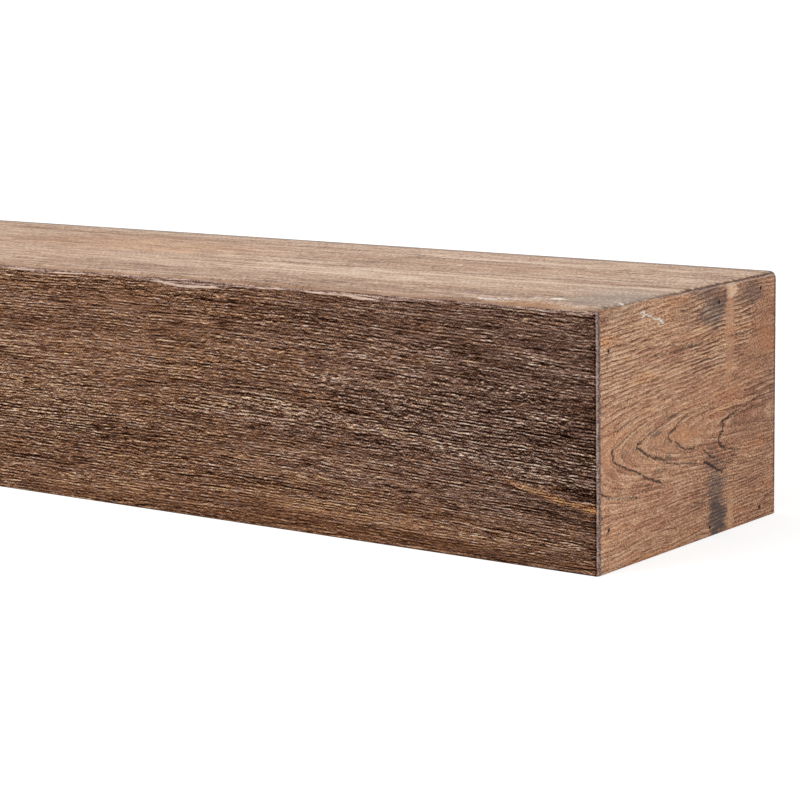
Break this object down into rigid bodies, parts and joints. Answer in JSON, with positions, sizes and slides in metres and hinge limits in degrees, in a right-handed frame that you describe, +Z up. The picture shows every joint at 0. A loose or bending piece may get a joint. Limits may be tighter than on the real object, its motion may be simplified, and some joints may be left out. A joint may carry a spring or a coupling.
{
  "type": "wood mantel shelf",
  "caption": "Hollow wood box-beam mantel shelf with a rough-sawn front, a smooth top, mitred end caps pinned with brads, and an open back that slides over a wall cleat.",
  "frame": {"origin": "middle of the underside", "axes": "+X along the beam, to the right seen from the front; +Y from the front to the wall; +Z up"},
  "size_m": [1.2192, 0.2032, 0.1524],
  "materials": {
    "sawn_face_wood": "rough-sawn, dark brown stain",
    "top_wood": "planed, brown stain, matte",
    "underside_wood": "planed, brown stain, matte",
    "end_wood": "sanded, brown stain, matte",
    "brad_steel": "dark, set below the surface"
  },
  "bodies": {
    "root": {"front_board": "sawn_face_wood", "top_board": "top_wood", "bottom_board": "underside_wood", "right_end_cap": "end_wood", "left_end_cap": "end_wood", "brad_right_front_upper": "brad_steel", "brad_right_front_lower": "brad_steel", "brad_right_top_middle": "brad_steel", "brad_right_top_back": "brad_steel", "brad_right_bottom_middle": "brad_steel", "brad_right_bottom_back": "brad_steel", "brad_left_front_upper": "brad_steel", "brad_left_front_lower": "brad_steel", "brad_left_top_middle": "brad_steel", "brad_left_top_back": "brad_steel", "brad_left_bottom_middle": "brad_steel", "brad_left_bottom_back": "brad_steel"}
  },
  "joints": []
}
